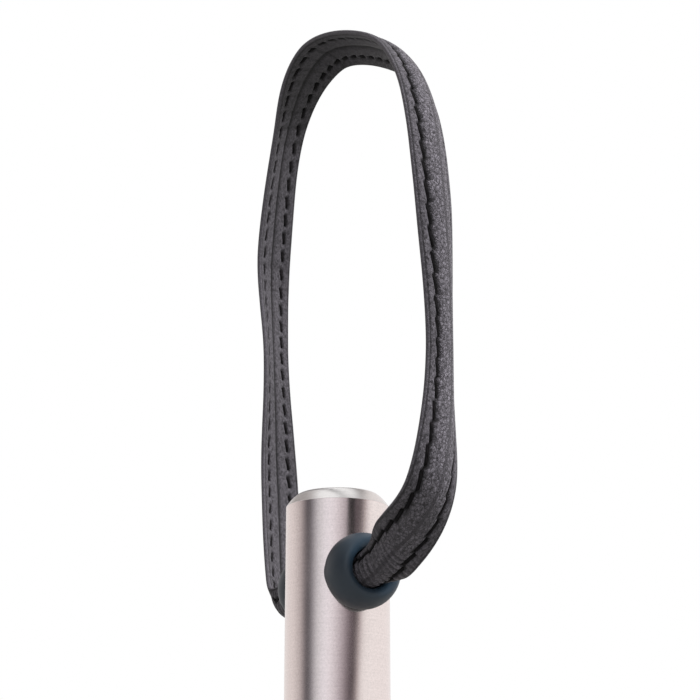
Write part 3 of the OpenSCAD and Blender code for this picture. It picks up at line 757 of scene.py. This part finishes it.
class CROP_OT_strap(bpy.types.Operator):
    """Sweeps the leather strap of the wrist loop along its route"""
    bl_idname = "crop.strap"
    bl_label = "Wrist strap"

    def execute(self, context):
        s = context.scene.crop_strap
        route = StrapRoute(s.width)
        section = self.section(s)
        runs = self.stations(route)
        u = np.tile([p[0] for p in section], (len(runs), 1))
        h = np.tile([p[1] for p in section], (len(runs), 1))
        run = np.tile(runs[:, None], (1, len(section)))
        u, h, painted_shade, wear_and_sheen, grain = self.relief(s, route, u, h, run)
        points = route.points(run.ravel(), u.ravel(), h.ravel())
        m = len(section)
        faces = [(k * m + j, k * m + (j + 1) % m, (k + 1) * m + (j + 1) % m, (k + 1) * m + j)
                 for k in range(len(runs) - 1) for j in range(m)]
        faces += [tuple(reversed(range(m))), tuple(range((len(runs) - 1) * m, len(runs) * m))]
        strap = mesh_object("strap_black_leather", points, faces)
        round_it = np.cumsum([0] + [math.dist(section[j], section[j + 1]) for j in range(m - 1)])
        set_uv(strap, "along_strap", np.stack([np.tile(round_it, len(runs)), run.ravel()], axis=1))
        for name, values in (("painted_shade", painted_shade), ("wear_and_sheen", wear_and_sheen), ("grain", grain)):
            set_attribute(strap, name, values.ravel())
        smooth(strap, 60)
        place(strap, "wrist_loop",
              finished_leather("Bridle leather, finished black", s.leather, s.grain, "along_strap"),
              ["strap_leather", "strap_filler"])
        return {"FINISHED"}

    def stations(self, route):
        """Distances along the strap: close together where it is creased near the grommets."""
        fine, coarse, creased = 0.27 * MM, 0.7 * MM, 42 * MM
        return np.concatenate([
            np.arange(0, creased, fine), np.arange(creased, route.length - creased, coarse),
            np.linspace(route.length - creased, route.length, int(creased / fine))])

    def section(self, s):
        """Points (u, h) round the strap, across it and up towards its inner face."""
        half, edge_h, crown = s.width / 2, s.edge_thickness / 2, s.thickness - s.edge_thickness
        row = half - s.row_inset
        # Places from the middle to the edge, close together at the stitch row
        side = [row * m for m in (0, 0.2, 0.42, 0.6, 0.74, 0.83, 0.88, 0.92, 0.95, 0.975, 1, 1.025, 1.05,
                                  1.08, 1.12, 1.17, 1.25, 1.33, 1.39, 1.44, 1.48, 1.52, 1.56, 1.61)]
        padding = [crown * math.cos(min(1, x / row) * math.pi / 2) ** 0.7 for x in side]
        sloped = [0.3 * MM * max(0, (x - row) / (half - row)) ** 2 for x in side]
        outer = [(x, -edge_h - p + b) for x, p, b in zip(side, padding, sloped)]
        flat = outer[-1][1]
        middle, reach = (flat + edge_h) / 2, (edge_h - flat) / 2
        edge = [(side[-1] + (half - side[-1]) * math.sin(a), middle - reach * math.cos(a))
                for a in (math.radians(d) for d in (30, 60, 90, 120, 150))]
        inner = [(x, edge_h) for x in reversed(side)]
        right = outer + edge + inner
        left = [(-x, h) for x, h in reversed(right)]
        return right[1:-1] + [(0, edge_h)] + left[1:-1] + [(0, -edge_h - crown)]

    def relief(self, s, route, u, h, run):
        """Sinks stitch rows, creases and seam; gives painted shade, painted highlights, wear and grain."""
        half = s.width / 2
        row = half - s.row_inset
        outer = h < 0
        out = np.where(outer, -1.0, 1.0)
        from_end = np.minimum(run, route.length - run)
        groove_w, line_w, seam_w, edge_w, worn_w = 0.56 * MM, 0.2 * MM, 0.35 * MM, 0.6 * MM, 0.35 * MM
        # The padding is pared down where the strap is rolled
        padding = np.maximum(0, -s.edge_thickness / 2 - h)
        h = h + 0.6 * padding * (1 - ease((from_end - ROLLED_END) / OPENING))
        phase = (run / s.pitch) % 1
        stitch_u = row + s.slant * (phase - 0.5)
        # Outside, the stitches meet in their holes; inside, they are shorter and leave gaps
        away, reach = np.abs(phase - 0.5), np.where(outer, 0.5, 0.33)
        pressed = np.clip((reach + 0.04 - away) / 0.06, 0, 1)
        groove = np.exp(-((np.abs(u) - stitch_u) / groove_w) ** 4) * pressed
        hole = np.exp(-((away - reach) * s.pitch / (0.7 * MM)) ** 2)
        depth = (0.45 + 0.15 * hole) * MM * groove
        # Crease lines pressed beside both edges
        line = np.exp(-((np.abs(u) - (half - edge_w)) / line_w) ** 2)
        depth += 0.12 * MM * line
        # The turned leather meets in the middle of the inner face
        seam = np.where(outer, 0, np.exp(-(u / seam_w) ** 4))
        depth += 0.4 * MM * seam
        # Fine slanting creases where the strap is gathered into the grommets
        near = np.exp(-((from_end - 25 * MM) / (8 * MM)) ** 4)
        wander = self.noise_of(u / (4 * MM), run / (6 * MM))
        ripple = (run + 0.35 * u + 1.3 * MM * wander) / (1.7 * MM) % 1
        sharp = np.exp(-((ripple - 0.5) / 0.18) ** 2) * np.clip(0.7 + wander, 0, 1)
        inboard = np.clip((half - edge_w - np.abs(u)) / edge_w, 0, 1)
        gathered = near * inboard
        depth += 0.32 * MM * sharp * gathered
        # Broad cross folds on the inside of the loop's bends
        bend = np.interp(run, route.run, route.table[:, 10])
        inside_bend = np.where(outer, 0, np.clip((bend - 12) / 25, 0, 1)) * (near < 0.3)
        fold = np.maximum(0, np.sin((run + 0.8 * MM * wander) / (5 * MM) * TURN)) ** 3
        depth += 0.3 * MM * fold * inside_bend * inboard
        undulation = self.noise_of(u / (8 * MM) + 7, run / (11 * MM)) * 0.08 * MM
        h = h - out * depth + undulation * inboard
        u = u + 0.1 * MM * self.noise_of(run / (12 * MM), run * 0 + 3)
        # Painted shade: the grooves, edge lines, seam, creases and folds are darkened in the leather's colour
        painted_shade = groove + 0.9 * line + seam + 0.8 * sharp * gathered + 0.5 * fold * inside_bend
        # The finish has worn off the edges a little; on the ridges between the creases a highlight is painted
        wear_and_sheen = np.exp(-((np.abs(u) - half) / worn_w) ** 2) * 0.25
        ridge_highlight = np.exp(-((ripple - 0.85) / 0.12) ** 2) * np.clip(0.7 + wander, 0, 1)
        wear_and_sheen = wear_and_sheen + 1.2 * ridge_highlight * gathered * (1 - groove)
        grain = np.where(outer, np.where(np.abs(u) < row, 1.0, 0.65), 0.38)
        return u, h, np.clip(painted_shade, 0, 1), wear_and_sheen, grain

    def noise_of(self, a, b):
        """Smooth noise from -1 to 1 for each pair of entries."""
        flat = [noise.noise(Vector((x, y, 0.37))) for x, y in zip(a.ravel(), b.ravel())]
        return np.array(flat).reshape(a.shape)


def sewn_stitch(reach, thickness):
    """One stitch: a round thread whose drawn-in ends dip into their holes."""
    deselect()
    bpy.ops.mesh.primitive_cylinder_add(
        vertices=8, radius=thickness / 2, depth=0.7 * reach, rotation=(0, math.pi / 2, 0))
    obj = bpy.context.object
    bpy.ops.object.transform_apply(location=False, rotation=True, scale=False)
    for end in (-1, 1):
        bpy.ops.object.mode_set(mode="EDIT")
        bpy.ops.mesh.select_mode(type="FACE")
        bpy.ops.mesh.select_all(action="DESELECT")
        mesh = bmesh.from_edit_mesh(obj.data)
        for face in mesh.faces:
            face.select = face.normal.x * end > 0.9
        bmesh.update_edit_mesh(obj.data)
        for advance, narrow in ((0.09, 0.85), (0.06, 0.6)):
            bpy.ops.mesh.extrude_region_move(
                TRANSFORM_OT_translate={"value": (end * advance * reach, 0, 0)})
            bpy.ops.transform.resize(value=(1, narrow, narrow))
        bpy.ops.object.mode_set(mode="OBJECT")
    for v in obj.data.vertices:
        v.co.z -= 1.1 * thickness * (abs(v.co.x) / (reach / 2)) ** 3
    return obj


class CROP_OT_strap_stitches(bpy.types.Operator):
    """Sews both faces of the strap with two rows of stitches"""
    bl_idname = "crop.strap_stitches"
    bl_label = "Strap stitches"

    def execute(self, context):
        s = context.scene.crop_strap
        route = StrapRoute(s.width)
        row = s.width / 2 - s.row_inset
        edge_h = s.edge_thickness / 2
        thread = twisted_thread("Bonded polyester thread", s.thread_colour, s.thread)
        # The ends inside the grommets and the tube are left plain
        clear = 19 * MM
        for face, name, share in ((-1, "outer", 0.98), (1, "inner", 0.66)):
            first, last = math.ceil(clear / s.pitch), int((route.length - clear) / s.pitch)
            matrices = [self.stitch_place(route, (k + 0.5) * s.pitch, side * row, face, edge_h, s)
                        for side in (-1, 1) for k in range(first, last)]
            stitch = sewn_stitch(share * s.pitch, s.thread)
            piece = copies("strap_stitches_" + name, stitch, matrices)
            smooth(piece, 70)
            place(piece, "wrist_loop", thread, ["strap_stitching"])
        return {"FINISHED"}

    def stitch_place(self, route, run, u, face, edge_h, s):
        """The frame of one stitch: X along the row, Z out of the face, slightly slanted."""
        level = edge_h - 0.16 * MM
        slip = math.copysign(s.slant / 2, u)
        ends = route.points(np.array([run - s.pitch / 2, run + s.pitch / 2]),
                            np.array([u - slip, u + slip]), np.full(2, face * level))
        middle, higher = route.points(
            np.full(2, run), np.full(2, u), np.array([face * level, face * (edge_h + 1 * MM)]))
        along = Vector(ends[1] - ends[0]).normalized()
        out = Vector(higher - middle)
        out = (out - out.dot(along) * along).normalized()
        side = out.cross(along)
        # Drawn tight, the thread flattens and fills its groove
        m = Matrix((along, 1.45 * side, out)).transposed().to_4x4()
        m.translation = Vector(middle)
        return m


class CROP_OT_hidden_parts(bpy.types.Operator):
    """Finishes the pieces that stay inside the handle"""
    bl_idname = "crop.hidden_parts"
    bl_label = "Inner pieces"

    def execute(self, context):
        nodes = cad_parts
        finishes = {
            "strap_ferrule": plain_part("Crimped zinc-plated steel", linear("#a3a5a6"), 1.0, 0.35, 0.8 * MM),
            "collar_pin": plain_part("Ground steel pin", linear("#c4c2c0"), 1.0, 0.3, 0.5 * MM),
            "shaft_core": plain_part("Pultruded glass fibre", linear("#d8d2b4"), 0.0, 0.45, 0.3 * MM),
        }
        for name, finish in finishes.items():
            nodes[name].data.materials.clear()
            nodes[name].data.materials.append(finish)
        return {"FINISHED"}


class CROP_OT_collar(bpy.types.Operator):
    """Turns the collar that joins the shaft to the handle tube"""
    bl_idname = "crop.collar"
    bl_label = "Shaft collar"

    def execute(self, context):
        s = context.scene.crop_handle
        r, low, high = TUBE_R, COLLAR_LOW.z, COLLAR_HIGH.z
        rim = TUBE_LOW.z
        # A plain band under the tube, a lip round the cover, the cover's seat and the rod's bore
        band, lip = rim - 4 * MM, COVER_HIGH.x + 1.6 * MM
        seat, bore, mouth = low + 5 * MM, 3.5 * MM + PLAY, COVER_HIGH.x + PLAY
        spigot = r - s.wall - PLAY
        outline = [(bore, high), (spigot - s.edge, high), (spigot, high - s.edge), (spigot, rim),
                   (r - s.edge, rim), (r, rim - s.edge), (r, band + 3 * s.edge),
                   (r - 2 * s.edge, band + 1.5 * s.edge), (r - s.edge, band)]
        cone = (0.12, 0.3, 0.45, 0.6, 0.75, 0.9)
        outline += [(r + (lip - r) * ease(t), band + (low - band) * t) for t in cone]
        outline += [(lip, low + s.edge), (lip - s.edge, low), (mouth + s.edge, low),
                    (mouth, low + s.edge), (mouth, seat), (bore, seat)]
        collar = turned("collar_turned_steel", outline)
        drill_for_pin(collar)
        smooth(collar, 30)
        place(collar, "handle",
              satin_steel("Stainless collar, lathe turned", s.cap_steel, 0.18), ["shaft_collar"])
        return {"FINISHED"}


def cover_radius(z):
    """Outside radius of the tapering shaft cover at a height."""
    top, tip = COVER_HIGH.x, 2.7 * MM
    start = COLLAR_LOW.z
    return tip + (top - tip) * np.clip((z - COVER_LOW.z) / (start - COVER_LOW.z), 0, 1)


class CROP_OT_braid(bpy.types.Operator):
    """Plaits the shaft's cover over and under from sixteen flat strands"""
    bl_idname = "crop.braid"
    bl_label = "Braided cover"

    def execute(self, context):
        s = context.scene.crop_shaft
        each_way = 8
        crossing = s.lead / (2 * each_way)
        z = np.arange(COVER_HIGH.z, COVER_LOW.z, -crossing / 3)
        r = cover_radius(z) - 0.9 * s.strand
        slant = np.arctan(TURN * r / s.lead)
        # The strands of one way cover this share of the surface, and pass over and under the others
        share = 0.93
        half = math.pi * r / each_way * np.cos(slant) * share
        weave = 0.45 * s.strand * np.cos(math.pi * z / crossing)
        points, faces = [], []
        for way in (-1, 1):
            for start in range(each_way):
                angle = TURN * start / each_way + way * TURN * z / s.lead
                base = len(points)
                for k in range(len(z)):
                    # Four points across a strand, the middle two raised
                    for side, lift in ((-1, 0), (-0.35, 0.5), (0.35, 0.5), (1, 0)):
                        a = angle[k] + side * half[k] * math.cos(slant[k]) / r[k]
                        radius = r[k] + way * weave[k] + lift * s.strand
                        height = z[k] - way * side * half[k] * math.sin(slant[k])
                        height = min(max(height, COVER_LOW.z), COVER_HIGH.z)
                        points.append((radius * math.cos(a), radius * math.sin(a), height))
                for k in range(len(z) - 1):
                    for first in range(base + 4 * k, base + 4 * k + 3):
                        faces.append((first, first + 1, first + 5, first + 4)[::way])
        braid = mesh_object("shaft_braid", points, faces)
        smooth(braid, 40)
        material = twisted_thread("Plaited polyester yarn", s.braid, 0.5 * MM)
        place(braid, "handle", material, ["shaft_cover"])
        # A thin black sleeve closes the gaps between the strands
        heights = (COVER_LOW.z, COLLAR_LOW.z, COVER_HIGH.z)
        outside = [(cover_radius(h) - 1.1 * s.strand, h) for h in heights]
        inside = [(cover_radius(h) - 0.8 * MM, h) for h in reversed(heights)]
        sleeve = turned("shaft_sleeve", outside + inside, 48)
        smooth(sleeve)
        black = plain_part("Black under-sleeve", linear("#0c0c0d"), 0.0, 0.7, 0.4 * MM)
        place(sleeve, "handle", black)
        return {"FINISHED"}


def wound_thread(name, path, thickness):
    """A round thread wound along a path, with closed ends."""
    data = bpy.data.curves.new(name, "CURVE")
    data.dimensions = "3D"
    data.bevel_depth = thickness / 2
    data.bevel_resolution = 1
    data.use_fill_caps = True
    line = data.splines.new("POLY")
    line.points.add(len(path) - 1)
    for point, place_of in zip(line.points, path):
        point.co = (*place_of, 1)
    obj = bpy.data.objects.new(name, data)
    bpy.context.scene.collection.objects.link(obj)
    activate(obj)
    bpy.ops.object.convert(target="MESH")
    smooth(obj, 60)
    return obj


class CROP_OT_whippings(bpy.types.Operator):
    """Winds the two thread bindings, turn by turn"""
    bl_idname = "crop.whippings"
    bl_label = "Thread bindings"

    def execute(self, context):
        s = context.scene.crop_shaft
        thread = twisted_thread("Waxed binding thread", s.whipping_colour, s.whipping)
        for name, node, path in (
                ("shaft_whipping", "upper_binding", self.round_path(s)),
                ("keeper_whipping", "keeper_binding", self.flat_path(s))):
            # A little thicker than its pitch, so that the turns press together
            winding = wound_thread(name, path, 1.03 * s.whipping)
            place(winding, "handle", thread, [node])
        return {"FINISHED"}

    def helix(self, low, high, pitch, outline):
        """Points that climb from low to high, a pitch for each turn of the outline."""
        turns, points_per_turn = (high - low - pitch) / pitch, 40
        steps = int(turns * points_per_turn)
        return [(*outline(TURN * turns * k / steps), low + pitch / 2 + turns * pitch * k / steps)
                for k in range(steps + 1)]

    def round_path(self, s):
        """The thread's path round the shaft."""
        r = WHIPPING_HIGH.x - s.whipping / 2
        return self.helix(WHIPPING_LOW.z, WHIPPING_HIGH.z, s.whipping,
                          lambda a: (r * math.cos(a), r * math.sin(a)))

    def flat_path(self, s):
        """The thread's path round the flattened root of the keeper."""
        half_w = TIP_WHIPPING_HIGH.x - s.whipping / 2
        half_t = TIP_WHIPPING_HIGH.y - s.whipping / 2

        def stadium(a):
            straight = (half_w - half_t) * max(-1, min(1, 3 * math.cos(a)))
            return straight + half_t * math.cos(a), half_t * math.sin(a)
        return self.helix(TIP_WHIPPING_LOW.z, TIP_WHIPPING_HIGH.z, s.whipping, stadium)


class CROP_OT_keeper(bpy.types.Operator):
    """Cuts and folds the leather keeper as one sheet"""
    bl_idname = "crop.keeper"
    bl_label = "Keeper"

    def execute(self, context):
        s = context.scene.crop_keeper
        path = self.fold_path(s)
        across = np.linspace(-1, 1, 25)
        points, uv, wear_and_sheen = [], [], []
        run = 0.0
        for k, (z, side, lift) in enumerate(path):
            half = keeper_half_width(z, s)
            for t in across:
                x = half * t
                points.append((x, side * self.offset(s, z, x) if lift is None else lift, z))
                uv.append((x, run))
                wear_and_sheen.append(0.5 * math.exp(-((1 - abs(t)) * half / (0.8 * MM)) ** 2))
            # Along the sheet by height, with a little more for each step so that the fold has some length
            if k + 1 < len(path):
                run += abs(path[k + 1][0] - z) + 0.3 * MM
        m = len(across)
        faces = [(k * m + j, k * m + j + 1, (k + 1) * m + j + 1, (k + 1) * m + j)
                 for k in range(len(path) - 1) for j in range(m - 1)]
        keeper = mesh_object("keeper_folded_leather", points, faces)
        set_uv(keeper, "along_keeper", uv)
        set_attribute(keeper, "wear_and_sheen", wear_and_sheen)
        set_attribute(keeper, "grain", [0.3] * len(points))
        set_attribute(keeper, "painted_shade", [0.0] * len(points))
        modify(keeper, "SOLIDIFY", thickness=s.leaf, offset=0, use_even_offset=True)
        modify(keeper, "BEVEL", width=0.35 * MM, segments=2, limit_method="ANGLE",
               angle_limit=math.radians(60))
        smooth(keeper, 50)
        place(keeper, None,
              finished_leather("Harness leather, finished black", s.leather, 0.7 * MM, "along_keeper"),
              ["keeper_root", "keeper_tongue"])
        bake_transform(keeper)
        return {"FINISHED"}

    def offset(self, s, z, x):
        """Distance of a leaf's middle from the keeper's middle plane: round the rod above, flat below."""
        flat = (s.gap + s.leaf) / 2
        bound = cover_radius(z) + s.leaf / 2
        wrapped = math.sqrt(max(bound ** 2 - x ** 2, flat ** 2))
        flat_from, wrapped_from = TONGUE_HIGH.z - 6 * MM, ROOT_LOW.z + 4 * MM
        share = float(ease((z - flat_from) / (wrapped_from - flat_from)))
        return flat + (wrapped - flat) * share

    def fold_path(self, s):
        """Stations down the front leaf, round the fold and up the back leaf."""
        radius = (s.gap + s.leaf) / 2
        bottom = TONGUE_LOW.z + s.leaf / 2 + radius
        down = np.linspace(ROOT_HIGH.z, bottom, 75)
        front = [(z, -1, None) for z in down]
        fold = [(bottom - radius * math.sin(a), 0, -radius * math.cos(a))
                for a in (math.radians(d) for d in range(20, 161, 20))]
        back = [(z, 1, None) for z in reversed(down)]
        return front + fold + back


def keeper_half_width(z, s):
    """Half width of the keeper at a height: narrow at its root, round at the free end's corners."""
    full, root = TONGUE_HIGH.x, ROOT_HIGH.x
    shoulder, widening = TONGUE_HIGH.z - 2 * MM, 13 * MM
    opened = root + (full - root) * float(ease((shoulder - z) / widening))
    over = max(0.0, TONGUE_LOW.z + s.corner - z)
    return opened - s.corner + math.sqrt(max(s.corner ** 2 - over ** 2, (0.3 * MM) ** 2))


class CROP_OT_keeper_stitches(bpy.types.Operator):
    """Sews the two leaves of the keeper together along their edge"""
    bl_idname = "crop.keeper_stitches"
    bl_label = "Keeper stitches"

    def execute(self, context):
        s = context.scene.crop_keeper
        strap = context.scene.crop_strap
        top = TONGUE_HIGH.z - 9 * MM
        low = TONGUE_LOW.z + s.row_inset + s.leaf / 2
        # Down one edge, across the end and up the other edge
        down = [(keeper_half_width(z, s) - s.row_inset, z) for z in np.linspace(top, low, 200)]
        corner = down[-1][0]
        end = [(x, low) for x in np.linspace(corner, -corner, 60)[1:-1]]
        line = np.array(down + end + [(-x, z) for x, z in reversed(down)])
        run = np.concatenate([[0], np.cumsum(np.linalg.norm(np.diff(line, axis=0), axis=1))])
        count = int(run[-1] / s.pitch)
        matrices = []
        for side in (-1, 1):
            y = side * (TONGUE_HIGH.y + 0.02 * MM)
            for k in range(count):
                here, there = (np.array([np.interp(d, run, line[:, 0]), np.interp(d, run, line[:, 1])])
                               for d in (k * s.pitch + 0.1 * MM, (k + 1) * s.pitch - 0.1 * MM))
                along = Vector((there[0] - here[0], 0, there[1] - here[1])).normalized()
                out = Vector((0, side, 0))
                m = Matrix((along, out.cross(along), out)).transposed().to_4x4()
                m.translation = Vector(((here[0] + there[0]) / 2, y, (here[1] + there[1]) / 2))
                matrices.append(m)
        stitch = sewn_stitch(0.8 * s.pitch, strap.thread)
        piece = copies("keeper_stitches", stitch, matrices)
        smooth(piece, 70)
        place(piece, "keeper",
              twisted_thread("Keeper thread", strap.thread_colour, strap.thread), ["keeper_stitching"])
        return {"FINISHED"}


PIECES = (
    CROP_OT_stage, CROP_OT_tube, CROP_OT_cap, CROP_OT_grommets, CROP_OT_strap, CROP_OT_strap_stitches,
    CROP_OT_hidden_parts, CROP_OT_collar, CROP_OT_braid, CROP_OT_whippings, CROP_OT_keeper,
    CROP_OT_keeper_stitches,
)
SETTINGS = {
    "crop_handle": CropHandleSettings,
    "crop_strap": CropStrapSettings,
    "crop_shaft": CropShaftSettings,
    "crop_keeper": CropKeeperSettings,
    "crop_stage": CropStageSettings,
}


class CROP_PT_panel(bpy.types.Panel):
    """Lists the crop's sizes and the pieces that can be made"""
    bl_label = "Riding Crop"
    bl_idname = "CROP_PT_panel"
    bl_space_type = "VIEW_3D"
    bl_region_type = "UI"
    bl_category = "Riding Crop"

    def draw(self, context):
        for name, group in SETTINGS.items():
            box = self.layout.box()
            for key in group.__annotations__:
                box.prop(getattr(context.scene, name), key)
        for piece in PIECES:
            self.layout.operator(piece.bl_idname)


def register():
    for group in SETTINGS.values():
        bpy.utils.register_class(group)
    for name, group in SETTINGS.items():
        setattr(bpy.types.Scene, name, bpy.props.PointerProperty(type=group))
    for piece in PIECES:
        bpy.utils.register_class(piece)
    bpy.utils.register_class(CROP_PT_panel)


def unregister():
    bpy.utils.unregister_class(CROP_PT_panel)
    for piece in reversed(PIECES):
        bpy.utils.unregister_class(piece)
    for name, group in SETTINGS.items():
        delattr(bpy.types.Scene, name)
        bpy.utils.unregister_class(group)


def main():
    register()
    for piece in PIECES:
        group, action = piece.bl_idname.split(".")
        getattr(getattr(bpy.ops, group), action)()
    deselect()


if __name__ == "__main__":
    main()
